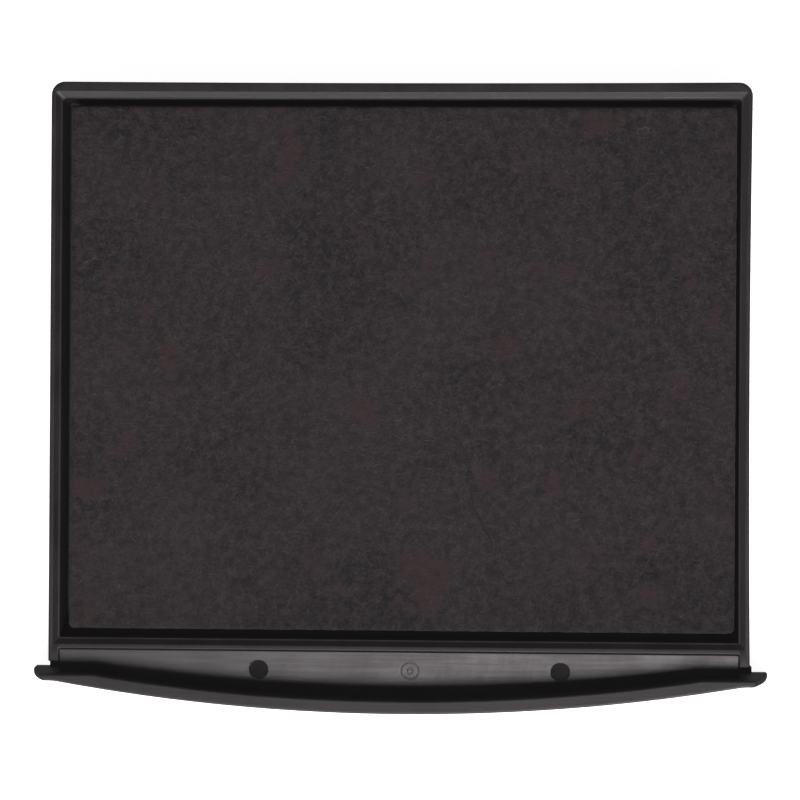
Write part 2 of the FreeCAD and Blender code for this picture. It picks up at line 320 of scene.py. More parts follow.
class Shading:
    """A node material under construction. Its methods add nodes and return the socket to go on with."""

    def __init__(self, name):
        self.material = bpy.data.materials.new(name)
        self.material.use_nodes = True
        self.tree = self.material.node_tree
        self.tree.nodes.clear()
        self.surface = self.add("BsdfPrincipled")
        self.add("OutputMaterial", Surface=self.surface.outputs[0])
        self.place = self.add("TexCoord").outputs["Object"]

    def put(self, socket, value):
        """Links another socket to this one, or sets it to a constant."""
        if isinstance(value, bpy.types.NodeSocket):
            self.tree.links.new(value, socket)
        else:
            socket.default_value = value

    def add(self, kind, **inputs):
        """A new node, with its inputs by name, underscores for spaces."""
        node = self.tree.nodes.new("ShaderNode" + kind)
        for name, value in inputs.items():
            self.put(node.inputs[name.replace("_", " ")], value)
        return node

    def set(self, **inputs):
        """Inputs of the surface, by name, underscores for spaces."""
        for name, value in inputs.items():
            self.put(self.surface.inputs[name.replace("_", " ")], value)

    def stretched(self, scale, turn=0.0):
        """Object coordinates, turned about z and then stretched."""
        turned = self.add("Mapping", Vector=self.place, Rotation=(0, 0, radians(turn)))
        return self.add("Mapping", Vector=turned.outputs[0], Scale=scale).outputs[0]

    def noise(self, size, detail=2.0, rough=0.5, at=None, seed=0.0):
        """Noise whose lumps are about a size across, in metres."""
        node = self.add("TexNoise", Scale=1 / size, Detail=detail, Roughness=rough)
        node.noise_dimensions = "4D"
        self.put(node.inputs["W"], seed)
        self.put(node.inputs["Vector"], at or self.place)
        return node.outputs["Fac"]

    def spread(self, source, low, high, to_low=0.0, to_high=1.0):
        """A smooth step from one range of values to another."""
        node = self.add("MapRange", From_Min=low, From_Max=high, To_Min=to_low, To_Max=to_high, Value=source)
        node.interpolation_type = "SMOOTHSTEP"
        return node.outputs["Result"]

    def sums(self, kind, first, second):
        """Arithmetic on two sockets, or on a socket and a number."""
        node = self.add("Math")
        node.operation = kind
        self.put(node.inputs[0], first)
        self.put(node.inputs[1], second)
        return node.outputs[0]

    def weighted(self, *pairs):
        """The sum of several sockets, each times its weight."""
        total = None
        for source, weight in pairs:
            term = self.sums("MULTIPLY", source, weight)
            total = term if total is None else self.sums("ADD", total, term)
        return total

    def mix(self, factor, first, second):
        """A colour between two others, each a socket or three numbers."""
        node = self.add("Mix", Factor=factor)
        node.data_type = "RGBA"
        for socket, value in ((node.inputs[6], first), (node.inputs[7], second)):
            self.put(socket, value if isinstance(value, bpy.types.NodeSocket) else (*value, 1))
        return node.outputs[2]

    def tinted(self, source, colour, by, low=0.35, high=0.65):
        """A colour that grows lighter by a share as the source goes from low to high."""
        return self.mix(self.spread(source, low, high), colour, lighter(colour, by))

    def attribute(self, name):
        """A number kept at each point of the piece."""
        node = self.add("Attribute")
        node.attribute_name = name
        return node.outputs["Fac"]

    def bump(self, height, distance):
        """Bends the surface's normal along a height."""
        self.set(Normal=self.add("Bump", Distance=distance, Height=height).outputs[0])


def lighter(colour, by):
    """A colour with each part raised by a share of itself and a little grey dust."""
    return [part * (1 + by) + 0.002 * by for part in colour]


def plastic(name, colour, low, high, grain, streak, turn=0.0, gloss=0.4, polish=None):
    """Moulded black plastic: a fine spark-eroded grain, long flow streaks, a breath of dust in patches and
    a roughness that wanders between two values. Where the named point attribute is 1, the mould was
    polished: there it is smooth and clean."""
    shading = Shading(name)
    fine = shading.noise(0.00016, 3, 0.6)
    patches = shading.noise(0.006, 3, 0.6, seed=3)
    flow = shading.noise(0.00035, 2, 0.6, at=shading.stretched((0.045, 1, 1), turn), seed=7)
    scuffs = shading.noise(0.0005, 2, 0.5, at=shading.stretched((1, 0.06, 1), turn + 12), seed=11)
    dust = shading.weighted((patches, 0.6), (fine, 0.25), (flow, 0.25))
    wander = shading.weighted((patches, 0.5), (flow, 0.35), (scuffs, 0.15))
    rough = shading.spread(wander, 0.36, 0.64, low, high)
    height = shading.weighted((fine, grain), (flow, streak), (scuffs, streak * 0.4))
    if polish:
        matt = shading.sums("SUBTRACT", 1.0, shading.attribute(polish))
        rough = shading.sums("ADD", shading.sums("MULTIPLY", rough, matt), 0.02)
        rough = shading.sums("MAXIMUM", rough, 0.17)
        height = shading.sums("MULTIPLY", height, matt)
    shading.bump(height, 0.00001)
    shading.set(Base_Color=shading.tinted(dust, colour, 0.9, 0.42, 0.72), Roughness=rough)
    shading.set(IOR=1.5, Specular_IOR_Level=gloss)
    return shading.material


def fleece_material(finish):
    """Inked fleece: crossing directions of short fibres over a fine mottle, broad soft clouds of ink, and
    faint warm patches where the ink lies thicker."""
    shading = Shading("inked fleece")
    mottle = shading.noise(0.00030, 3, 0.62)
    clumps = shading.noise(0.0010, 2, 0.55, seed=2)
    lanes = [
        shading.noise(0.00026, 2, 0.5, at=shading.stretched((0.22, 1, 1), turn), seed=turn / 10)
        for turn in (8, 71, 128)
    ]
    fibres = shading.sums("MAXIMUM", shading.sums("MAXIMUM", lanes[0], lanes[1]), lanes[2])
    clouds = shading.noise(0.012, 4, 0.62, seed=5)
    body = shading.weighted((mottle, 0.46), (fibres, 0.26), (clumps, 0.28))
    toned = shading.mix(shading.spread(body, 0.39, 0.68), finish.fleece_dark, finish.fleece_light)
    cloudy = shading.mix(
        shading.spread(clouds, 0.35, 0.68, 0.0, 0.28), toned, lighter(finish.fleece_light, 0.1)
    )
    patches = shading.weighted((shading.noise(0.0045, 2, 0.5, seed=9), 0.8), (clumps, 0.2))
    warm = shading.spread(patches, 0.55, 0.66, 0.0, 0.75)
    shading.bump(shading.weighted((mottle, 0.55), (fibres, 0.5), (clumps, 0.5)), 0.00016)
    shading.set(Base_Color=shading.mix(warm, cloudy, finish.fleece_tint))
    shading.set(Roughness=shading.spread(mottle, 0.3, 0.7, 0.78, 0.95))
    shading.set(Sheen_Weight=0.08, Sheen_Roughness=0.5, Specular_IOR_Level=0.25)
    return shading.material


def felt_material(finish):
    """Dense wool felt soaked with ink."""
    shading = Shading("ink-soaked felt")
    wool = shading.noise(0.0004, 4, 0.65)
    lanes = shading.noise(0.00025, 2, 0.5, at=shading.stretched((0.2, 1, 1), 33), seed=4)
    body = shading.weighted((wool, 0.6), (lanes, 0.4))
    shading.bump(body, 0.00012)
    shading.set(
        Base_Color=shading.tinted(body, finish.felt, 1.2), Roughness=shading.spread(wool, 0.3, 0.7, 0.7, 0.9)
    )
    return shading.material


def film_material(finish):
    """Thin double-sided bonding film with a faint fleck of paper."""
    shading = Shading("bonding film")
    fleck = shading.noise(0.0003, 3, 0.6)
    smear = shading.noise(0.003, 2, 0.5, at=shading.stretched((0.3, 1, 1), 8), seed=2)
    body = shading.weighted((fleck, 0.5), (smear, 0.5))
    shading.bump(fleck, 0.00001)
    shading.set(
        Base_Color=shading.tinted(body, finish.film, 0.35), Roughness=shading.spread(smear, 0.3, 0.7, 0.25, 0.5)
    )
    return shading.material


def fibre_material(name, colour, rough):
    """A wet dark fibre, a little uneven along its length."""
    shading = Shading(name)
    wet = shading.noise(0.0008, 2, 0.5)
    shading.set(
        Base_Color=shading.tinted(wet, colour, 0.8), Roughness=shading.spread(wet, 0.3, 0.7, rough, rough + 0.2)
    )
    return shading.material


# ---- tray ----


def tray_outline(sizes):
    """The tray from above, with its two front tabs: twelve stations, of which the ones in the middle of the
    crossbar, sides and back lie on a straight run and spread points along it."""
    half = TRAY_HIGH.x
    inner = half - (sizes.side_rim + sizes.chamfer + sizes.ledge)
    tab = TRAY_LOW.y
    bar = bar_front()
    back = TRAY_HIGH.y
    middle = (tab + back) / 2
    corners = [(-half, tab), (-inner, tab), (-inner, bar), (0, bar), (inner, bar), (inner, tab),
               (half, tab), (half, middle), (half, back), (0, back), (-half, back), (-half, middle)]
    small = 0.00012
    run = 0.9
    reach = [small, small, small, inner * run, small, small,
             small, (back - tab) / 2 * run, sizes.corner, half * run, sizes.corner, (back - tab) / 2 * run]
    return np.array(corners), np.array(reach)


def inner_outline(half, front, back, corner):
    """A rectangle with the same twelve stations, six of them on its front side."""
    near = 0.00035
    tiny = near / 4
    run = 0.9
    middle = (front + back) / 2
    corners = [(-half, front), (-half + near, front), (-half + 2 * near, front), (0, front),
               (half - 2 * near, front), (half - near, front), (half, front),
               (half, middle), (half, back), (0, back), (-half, back), (-half, middle)]
    front_corner = min(corner, near / 2)
    reach = [front_corner, tiny, tiny, (half - 2 * near) * run, tiny, tiny, front_corner,
             (back - front) / 2 * run, corner, half * run, corner, (back - front) / 2 * run]
    return np.array(corners), np.array(reach)


def warp(points, sizes):
    """Bows the right wall and the back wall inwards on parabolas that vanish at the corners, fading out
    over the last few millimetres before the pad."""
    x, y = points[:, 0].copy(), points[:, 1].copy()
    half, back, front = TRAY_HIGH.x, TRAY_HIGH.y, TRAY_LOW.y
    fade = 0.0018
    along = (2 * y - back - front) / (back - front)
    near_side = np.clip(1 - (half - x) / fade, 0, 1) ** 0.5
    near_back = np.clip(1 - (back - y) / (fade * 1.4), 0, 1) ** 0.5
    points[:, 0] -= sizes.side_bow * (1 - along**2) * near_side
    points[:, 1] -= sizes.back_bow * (1 - (x / half) ** 2) * near_back
    return points


def tray_body(sizes):
    """The tray as one stack of loops: the relief under it, the border, the outer wall with rounded edges,
    the rim, the slope, the ledge, and the recess down to its floor."""
    outer = tray_outline(sizes)
    bar = bar_front()
    back = TRAY_HIGH.y
    top = TRAY_HIGH.z
    soft = 0.00006

    def inner(side, front, rear, corner, z):
        outline = inner_outline(TRAY_HIGH.x - side, bar + front, back - rear, corner)
        return at_height(rounded_loop(*outline), z)

    def wall(drawn, z):
        return at_height(rounded_loop(*inset(*outer, drawn)), z)

    border = sizes.border
    levels = [inner(border, border, border, sizes.relief_corner, z)
              for z in (sizes.relief, sizes.edge, soft / 2)]
    levels.append(inner(border - soft, border - soft, border - soft, sizes.relief_corner, 0))
    levels.append(inner(sizes.side_rim, sizes.bar_rim, sizes.side_rim, sizes.corner / 2, 0))
    between = [(0, z) for z in np.linspace(sizes.edge, top - sizes.edge, 6)[1:-1]]
    levels += [wall(drawn, z) for drawn, z in foot_turn(0, sizes.edge) + between + top_turn(top, sizes.edge)]

    def rim(step, z, corner):
        return inner(sizes.side_rim + step, sizes.bar_rim + step, sizes.back_rim + step, corner, z)

    corner = sizes.recess_corner
    fall = sizes.chamfer
    levels.append(rim(-soft, top, corner))
    levels.append(rim(soft * 0.3, top - soft * 0.5, corner))
    levels.append(rim(fall - soft, top - fall + soft, corner))
    levels.append(rim(fall + soft * 0.6, top - fall, corner))
    step = sizes.chamfer + sizes.ledge
    levels.append(rim(step - soft, top - fall, corner))
    levels.append(rim(step, top - fall - soft, corner))
    foot = 0.0002
    floor = sizes.floor_height
    levels += [rim(step, z, corner) for z in np.linspace(top - fall - 2 * foot, floor + 1.5 * foot, 4)]
    levels += [rim(step + drawn, z, corner - foot / 2) for drawn, z in foot_turn(floor, foot, 3)[::-1]]
    points, faces = loft(levels)
    return warp(points, sizes), faces


def base_ribs(sizes):
    """Two ribs along y and one across them, as one block on a twenty-cornered outline."""
    low_x, high_x = TRAY_LOW.x + sizes.border, TRAY_HIGH.x - sizes.border
    low_y = bar_front() + sizes.border
    high_y = TRAY_HIGH.y - sizes.border
    sunk = 0.0003
    h = sizes.rib / 2
    a, b = low_x + (high_x - low_x) / 3, low_x + (high_x - low_x) * 2 / 3
    y = (low_y + high_y) / 2
    left, right, front, back = low_x - sunk, high_x + sunk, low_y - sunk, high_y + sunk
    lower = [(left, y - h), (a - h, y - h), (a - h, front), (a + h, front), (a + h, y - h),
             (b - h, y - h), (b - h, front), (b + h, front), (b + h, y - h), (right, y - h)]
    upper = [(right, y + h), (b + h, y + h), (b + h, back), (b - h, back), (b - h, y + h),
             (a + h, y + h), (a + h, back), (a - h, back), (a - h, y + h), (left, y + h)]
    corners = np.array(lower + upper)
    return rounded_block(corners, np.full(20, 0.0002), 0.0, sizes.relief + sunk / 2, 0.0001, 3)


def cut_pockets(tray, sizes, grip):
    """Takes the two tongue pockets and the holes for their pips out of the tray, as solid differences."""
    bar = bar_front()
    half = grip.tongue_width / 2 + grip.clearance
    past = 0.001
    front, rear = bar - past, bar + sizes.border + past / 10
    pip_y = bar + grip.tongue_reach - 2 * grip.pip_radius
    shells = []
    for x in (-grip.tongue_x, grip.tongue_x):
        corners = rectangle(x - half, x + half, front, rear)
        shells.append(rounded_block(corners, np.full(4, 0.00015), -past, sizes.relief, 0.00005, 2))
        ring = turned_loop(x, pip_y, grip.pip_radius + grip.clearance)
        heights = (sizes.relief - past / 5, sizes.relief + grip.pip_height + grip.clearance)
        shells.append(loft([at_height(ring, z) for z in heights]))
    for shell in shells:
        tool = put_in("pocket_tool", [shell], weighted=False)
        cut = tray.modifiers.new("Pocket", "BOOLEAN")
        cut.operation = "DIFFERENCE"
        cut.solver = "EXACT"
        cut.object = tool
        graph = bpy.context.evaluated_depsgraph_get()
        mesh = bpy.data.meshes.new_from_object(tray.evaluated_get(graph))
        tray.modifiers.clear()
        old, tray.data = tray.data, mesh
        bpy.data.meshes.remove(old)
        bpy.data.meshes.remove(tool.data)
    tray.data.name = tray.name
    finish_mesh(tray.data)
    weigh_normals(tray)


def turned_loop(x, y, radius):
    """A circle of points about a centre, anticlockwise."""
    angle = np.linspace(0, 2 * np.pi, 40, endpoint=False)
    return np.column_stack([x + radius * np.cos(angle), y + radius * np.sin(angle)])


# ---- front grip ----


def arc_y(x, radius, apex):
    """The y of an arc that bows to the front: the apex plus the radius less the chord's height."""
    return apex + radius - np.sqrt(radius**2 - x**2)


def half_width(z, sizes):
    """Half the plate's width at a height: the parabola through its widths at foot, middle and top."""
    height = GRIP_HIGH.z
    share = np.asarray(z) / height
    rest = 1 - share
    return (sizes.half_base * rest * (rest - share) + 4 * sizes.half_middle * share * rest
            + sizes.half_top * share * (share - rest))


def fascia_loop(half, drawn, sizes):
    """The front plate from above at one height, drawn in by an inset: the outer arc, a thin rounded tip, the
    wing's straight back, the inner arc between the two kinks, and the same again on the left."""
    front = GRIP_LOW.y + drawn
    back = sizes.wing_back - drawn
    tip = half - drawn
    nose = 0.75 * (sizes.tip_thickness - 2 * drawn)
    least = nose / 12
    x = np.linspace(-(tip - nose), tip - nose, 141)
    outer = np.column_stack([x, np.minimum(arc_y(x, sizes.outer_radius - drawn, front),
                                           sizes.wing_back - sizes.tip_thickness + drawn)])
    turn = np.linspace(0, 1, 7)[1:, None]
    right_front = outer[-1]
    corner = np.array([tip, right_front[1]])
    beyond = np.array([tip, right_front[1] + nose])
    round_tip = (1 - turn) ** 2 * right_front + 2 * turn * (1 - turn) * corner + turn**2 * beyond
    shoulder = np.array([[tip, back - least], [tip - least, back]])
    wing = np.column_stack([np.linspace(tip - nose, sizes.kink_half, 9), np.full(9, back)])
    sagitta = sizes.wing_back - (GRIP_LOW.y + sizes.thickness)
    inner_radius = (sizes.kink_half**2 + sagitta**2) / (2 * sagitta)
    x = np.linspace(sizes.kink_half, -sizes.kink_half, 121)[1:-1]
    inner = np.column_stack([x, arc_y(x, inner_radius, GRIP_LOW.y + sizes.thickness) - drawn])
    right = np.concatenate([round_tip, shoulder, wing])
    left = right[::-1] * (-1, 1)
    return np.concatenate([outer, right, inner, left])


def fascia(sizes):
    """The bowed front plate as a stack of its outlines, whose half width follows the height, with a
    rounded foot and top."""
    height = GRIP_HIGH.z
    foot = 0.0001
    between = [(0.0, z) for z in np.linspace(foot, height - sizes.edge, 15)[1:-1]]
    stack = foot_turn(0, foot, 3) + between + top_turn(height, sizes.edge, 6)
    return loft([at_height(fascia_loop(half_width(z, sizes), drawn, sizes), z) for drawn, z in stack])


def trough_surface(x, y, sizes):
    """The trough's height: a plane that falls to the front, a little steeper just past the seam where its
    edge is rounded, less two flat pin marks and one shallow ring with a dot."""
    back = bar_front()
    past = 0.0002
    front = GRIP_LOW.y + sizes.thickness - past
    slope = sizes.trough_drop / (back - sizes.seam - front)
    behind = back - y
    surface = sizes.trough_back - np.maximum(behind - sizes.seam, 0) * slope
    past = np.clip(sizes.seam - behind, 0, sizes.seam)
    surface = surface - sizes.seam + np.sqrt(sizes.seam**2 - past**2)
    lip, lip_length = 0.000022, 0.00013
    surface = surface + lip * np.exp(-np.maximum(behind - sizes.seam, 0) / lip_length)
    crisp = 0.00003
    for side in (-1, 1):
        distance = np.hypot(x - sizes.mark_offset - side * sizes.mark_pitch, y - sizes.mark_y)
        inside = np.clip((sizes.mark_radius - distance) / crisp + 0.5, 0, 1)
        flat = sizes.trough_back - (back - sizes.seam - sizes.mark_y) * slope
        flat = flat - sizes.mark_radius * slope - sizes.mark_depth / 2
        surface = surface * (1 - inside) + np.minimum(surface, flat) * inside
    distance = np.hypot(x - sizes.mark_offset, y - sizes.mark_y)
    line = 0.00009
    dot = 0.28 * sizes.mark_radius
    shallow = 0.45 * sizes.mark_depth
    for radius in (sizes.mark_radius - line, dot):
        surface = surface - shallow * np.exp(-(((distance - radius) / line) ** 2))
    return surface


def trough_floor(sizes):
    """The trough's floor as a plate between two height fields. The grid runs from side to side, and from
    the seam to the middle of the front plate's thickness, and is finest at the seam and round the marks."""
    back = bar_front()
    half = sizes.trough_half
    fine = 0.00006
    margin = 0.0002
    around = sizes.mark_radius + margin
    lines = [np.linspace(-half, half, 121)]
    for side in (-1, 0, 1):
        middle = sizes.mark_offset + side * sizes.mark_pitch
        lines.append(np.arange(middle - around, middle + around, fine))
    x = thinned(np.concatenate(lines), fine * 0.6)
    seam = back - sizes.seam * (1 - np.cos(np.linspace(0, np.pi / 2, 6)))
    after = back - sizes.seam - np.linspace(0.15, 3, 10) * margin
    marks = np.arange(sizes.mark_y + around, sizes.mark_y - around, -fine)
    rest = np.linspace(back - 4 * margin, sizes.mark_y + around + margin / 2, 6)
    closest = 0.00001
    y = thinned(np.concatenate([seam, after, rest, marks]), closest)[::-1]
    last = y[-1]
    front = arc_y(x, sizes.outer_radius, GRIP_LOW.y + sizes.thickness / 2)
    columns = [np.tile(y, (len(x), 1))]
    share = np.linspace(0, 1, 8)[1:]
    columns.append(last + share[None, :] * np.minimum(front - last, -closest * len(share))[:, None])
    y_grid = np.sort(np.maximum(np.concatenate(columns, axis=1), front[:, None]), axis=1)
    spread = np.arange(y_grid.shape[1])[None, :] * closest / 1000
    x_grid = np.repeat(x[:, None], y_grid.shape[1], axis=1)
    top = trough_surface(x_grid, y_grid, sizes)
    slope = sizes.trough_drop / (back - GRIP_LOW.y - sizes.thickness)
    bottom = sizes.trough_back - sizes.trough_plate - (back - y_grid) * slope
    return slab(x_grid, y_grid + spread, top, bottom)


def mark_polish(mesh, sizes):
    """Keeps 1 at each point inside the two flat pin marks and 0 elsewhere, by distance to their middles."""
    places = np.empty(len(mesh.vertices) * 3, dtype=np.float32)
    mesh.vertices.foreach_get("co", places)
    x, y, z = places.reshape(-1, 3).T
    side = np.where(x > sizes.mark_offset, 1, -1)
    distance = np.hypot(x - sizes.mark_offset - side * sizes.mark_pitch, y - sizes.mark_y)
    inside = (distance < sizes.mark_radius) & (z > sizes.trough_back - sizes.trough_plate)
    kept = mesh.attributes.new(POLISHED, "FLOAT", "POINT")
    kept.data.foreach_set("value", inside.astype(np.float32))


def thinned(values, least):
    """Sorted values, without those that come closer than a least step to the one before."""
    values = np.sort(values)
    keep = np.concatenate([[True], np.diff(values) > least])
    return values[keep]


def trough_webs(sizes):
    """The wall under the seam and the webs that tie it to the front plate."""
    back = bar_front()
    top = sizes.trough_back - sizes.trough_plate
    half = sizes.trough_half
    shells = [box_block(-half, half, back - sizes.web, back, 0, top - OVERLAP, WEB_EDGE)]
    for x in np.linspace(-half + sizes.web / 2, half - sizes.web / 2, sizes.web_count):
        front = arc_y(abs(x) + sizes.web / 2, sizes.outer_radius, GRIP_LOW.y + sizes.thickness / 2)
        shells.append(box_block(x - sizes.web / 2, x + sizes.web / 2, front, back - sizes.web + OVERLAP,
                                0, top - sizes.trough_drop + OVERLAP, WEB_EDGE))
    return shells


def shoulders(sizes):
    """The low blocks at the wings' roots, just past the tray's tabs, each with one corner cut off."""
    inner = sizes.trough_half - sizes.web
    outer = 0.03975
    cut = 0.0004
    gap = 0.00005
    sunk = 0.0003
    edge = 0.0001
    height = 0.002
    back = TRAY_LOW.y - gap
    front = sizes.wing_back - sunk
    corners = [(inner, front), (outer, front), (outer, back - cut), (outer - cut, back), (inner, back)]
    right = np.array(corners)
    left = right[::-1] * (-1, 1)
    return [rounded_block(block, np.full(5, edge), 0, height, edge) for block in (right, left)]


def tongues(sizes, tray):
    """The two flat spring tongues, and on each a round pip with a domed top."""
    bar = bar_front()
    top = tray.relief - sizes.clearance / 2
    dome = 0.0002
    shells = []
    for x in (-sizes.tongue_x, sizes.tongue_x):
        half = sizes.tongue_width / 2
        shells.append(box_block(x - half, x + half, bar - sizes.web / 2, bar + sizes.tongue_reach,
                                top - sizes.tongue_thickness, top, WEB_EDGE))
        pip_y = bar + sizes.tongue_reach - 2 * sizes.pip_radius
        stack = [(0, top - OVERLAP)] + top_turn(top - OVERLAP / 2 + sizes.pip_height, dome)
        shells.append(loft([
            at_height(turned_loop(x, pip_y, sizes.pip_radius - drawn), z) for drawn, z in stack
        ]))
    return shells


# ---- pad ----


def cloth_field(rows, columns, finest, broadest, power, seed):
    """A random height field of about unit spread: white noise, seeded, whose spectrum keeps the wavelengths
    between two grid distances and falls with a power of the frequency."""
    draw = np.random.default_rng(seed).standard_normal((rows, columns))
    frequency = np.hypot(np.fft.fftfreq(rows)[:, None], np.fft.rfftfreq(columns)[None, :])
    frequency[0, 0] = 1
    kept = frequency**-power * np.exp(-((frequency * finest) ** 2))
    kept *= 1 - np.exp(-((frequency * broadest) ** 2))
    kept[0, 0] = 0
    field = np.fft.irfft2(np.fft.rfft2(draw) * kept, s=(rows, columns))
    return field / field.std()


def edge_lines(low, high, roll, step):
    """Grid lines across the pad: close together over the rolled edges, and evenly spaced between."""
    near = roll * (1 - np.cos(np.linspace(0, np.pi / 2, 8)))
    middle = np.linspace(low + roll, high - roll, int((high - low - 2 * roll) / step))
    return np.concatenate([low + near[:-1], middle, (high - near[:-1])[::-1]])


def fleece_grid(sizes):
    """The fleece's upper surface on a grid: x, y and height. Square corners are pressed to round ones by
    a times the root of one less half b squared. Inside the rolled edge the height is the pad's top plus
    fine nap and broad unevenness; over the roll it follows a quarter circle of the distance to the edge."""
    x = edge_lines(FLEECE_LOW.x, FLEECE_HIGH.x, sizes.roll, sizes.mesh_step)
    y = edge_lines(FLEECE_LOW.y, FLEECE_HIGH.y, sizes.roll, sizes.mesh_step)
    x, y = (grid.T for grid in np.meshgrid(x, y))
    centre_x, centre_y = (FLEECE_LOW.x + FLEECE_HIGH.x) / 2, (FLEECE_LOW.y + FLEECE_HIGH.y) / 2
    flat_x = FLEECE_HIGH.x - centre_x - sizes.corner
    flat_y = FLEECE_HIGH.y - centre_y - sizes.corner
    a = np.clip(np.abs(x - centre_x) - flat_x, 0, None) / sizes.corner
    b = np.clip(np.abs(y - centre_y) - flat_y, 0, None) / sizes.corner
    pressed_a = a * np.sqrt(1 - b**2 / 2)
    pressed_b = b * np.sqrt(1 - a**2 / 2)
    x = x - np.sign(x - centre_x) * (a - pressed_a) * sizes.corner
    y = y - np.sign(y - centre_y) * (b - pressed_b) * sizes.corner
    inside = sizes.corner + np.minimum(flat_x - np.abs(x - centre_x), flat_y - np.abs(y - centre_y))
    round_inside = sizes.corner * (1 - np.hypot(pressed_a, pressed_b))
    inside = np.where((pressed_a > 0) & (pressed_b > 0), round_inside, inside)
    inside = np.clip(inside, 0, None)
    rows, columns = x.shape
    nap = cloth_field(rows, columns, 1.6, 60, 0.6, 11) * sizes.nap
    broad = cloth_field(rows, columns, 20, 900, 1.4, 12) * sizes.sag
    over = np.clip(1 - inside / sizes.roll, 0, 1)
    rise, fall = 0.00006, 0.00012
    top = FLEECE_HIGH.z - rise - sizes.roll * (1 - np.sqrt(1 - over**2))
    lift = np.clip(inside / sizes.roll, 0, 1)
    top = top + np.clip(nap + broad, -fall, rise) * lift
    fray = 0.00003
    ragged = np.abs(cloth_field(rows, columns, 3, 40, 0.8, 13)) * fray * (1 - lift)
    x = x - np.sign(x - centre_x) * ragged * (a > 0)
    y = y - np.sign(y - centre_y) * ragged * (b > 0)
    return x, y, top


def fleece_shell(sizes):
    """The fleece as one closed shell: its napped top, the skirt down to the tray's floor, and the hollow
    over the felt, whose loops copy the skirt's outline drawn in towards the middle."""
    x, y, top = fleece_grid(sizes)
    rows, columns = x.shape
    points = np.stack([x, y, top], axis=-1).reshape(-1, 3)
    faces = grid_faces(rows, columns).tolist()
    ring = edge_ring(rows, columns)
    around = len(ring)
    rim = points[ring]
    centre = np.array([(FLEECE_LOW.x + FLEECE_HIGH.x) / 2, (FLEECE_LOW.y + FLEECE_HIGH.y) / 2])
    half = np.array([FLEECE_HIGH.x, FLEECE_HIGH.y]) - centre

    def ring_at(z, drawn):
        scale = (half - drawn) / half
        flat = centre + (rim[:, :2] - centre) * scale
        return np.column_stack([flat, np.full(around, z)])

    low = FLEECE_LOW.z
    ceiling = FLEECE_HIGH.z - sizes.skin
    tuck = 0.00005
    loops = [ring_at(z, 0) for z in np.linspace(rim[:, 2].mean(), low + 4 * tuck, 12)[1:]]
    loops += [ring_at(low + tuck, tuck), ring_at(low, 4 * tuck), ring_at(low, sizes.skirt - tuck)]
    loops += [ring_at(z, sizes.skirt) for z in (low + 2 * tuck, ceiling)]
    index = np.concatenate([ring[None], len(points) + np.arange(len(loops) * around).reshape(-1, around)])
    turned = np.roll(index, -1, axis=1)
    walls = np.stack([index[:-1], index[1:], turned[1:], turned[:-1]], axis=-1).reshape(-1, 4)
    faces += walls.tolist() + [index[-1][::-1].tolist()]
    return np.concatenate([points, *loops]), faces


def fleece_height(x, y, sizes):
    """The height of the fleece's top at some places, from the nearest grid lines."""
    grid_x, grid_y, top = fleece_grid(sizes)
    column = np.clip(np.searchsorted(grid_x[:, grid_x.shape[1] // 2], x), 1, grid_x.shape[0] - 1)
    row = np.clip(np.searchsorted(grid_y[grid_y.shape[0] // 2], y), 1, grid_y.shape[1] - 1)
    return np.maximum(np.maximum(top[column, row], top[column - 1, row]),
                      np.maximum(top[column, row - 1], top[column - 1, row - 1]))


def strands(paths, radius, sides=3):
    """Closed tubes round many paths at once. Each path's sections are regular polygons at right angles to
    it on the level, their radius shrinking to half at both ends, and a flat face closes each end."""
    count, steps = paths.shape[:2]
    ahead = np.gradient(paths, axis=1)
    across = np.stack([-ahead[..., 1], ahead[..., 0]], axis=-1)
    across /= np.linalg.norm(across, axis=-1, keepdims=True)
    angle = np.linspace(0, 2 * np.pi, sides, endpoint=False)
    thick = radius * (0.5 + 0.5 * np.sin(np.linspace(0, np.pi, steps)))
    reach = thick[None, :, None, None]
    sideways = across[:, :, None, :] * np.cos(angle)[None, None, :, None]
    flat = paths[:, :, None, :2] + sideways * reach
    upright = paths[:, :, None, 2] + np.sin(angle)[None, None] * thick[None, :, None]
    points = np.concatenate([flat, upright[..., None]], axis=-1)
    index = np.arange(count * steps * sides).reshape(count, steps, sides)
    turned = np.roll(index, -1, axis=2)
    quads = np.stack([index[:, :-1], turned[:, :-1], turned[:, 1:], index[:, 1:]], axis=-1).reshape(-1, 4)
    ends = np.concatenate([index[:, 0, ::-1], index[:, -1]])
    return points.reshape(-1, 3), quads.tolist() + ends.tolist()


def fibre_paths(sizes):
    """Short curved paths strewn evenly over the fleece, seeded: a start, a heading, a bend and a length for
    each, then points at even steps, lying just on the nap."""
    draw = np.random.default_rng(21)
    count = sizes.fibre_count
    edge = 0.0011
    x = draw.uniform(FLEECE_LOW.x + edge, FLEECE_HIGH.x - edge, count)
    y = draw.uniform(FLEECE_LOW.y + edge, FLEECE_HIGH.y - edge, count)
    heading = draw.uniform(0, 2 * np.pi, count)
    bend = draw.normal(0, 500, count)
    length = draw.uniform(0.0003, 0.0011, count)
    along = np.linspace(-0.5, 0.5, 5)[None] * length[:, None]
    angle = heading[:, None] + bend[:, None] * along
    path_x = np.clip(x[:, None] + along * np.cos(angle), FLEECE_LOW.x + edge / 2, FLEECE_HIGH.x - edge / 2)
    path_y = np.clip(y[:, None] + along * np.sin(angle), FLEECE_LOW.y + edge / 2, FLEECE_HIGH.y - edge / 2)
    height = fleece_height(path_x, path_y, sizes) + sizes.fibre_radius * 0.4
    return np.stack([path_x, path_y, height], axis=-1)


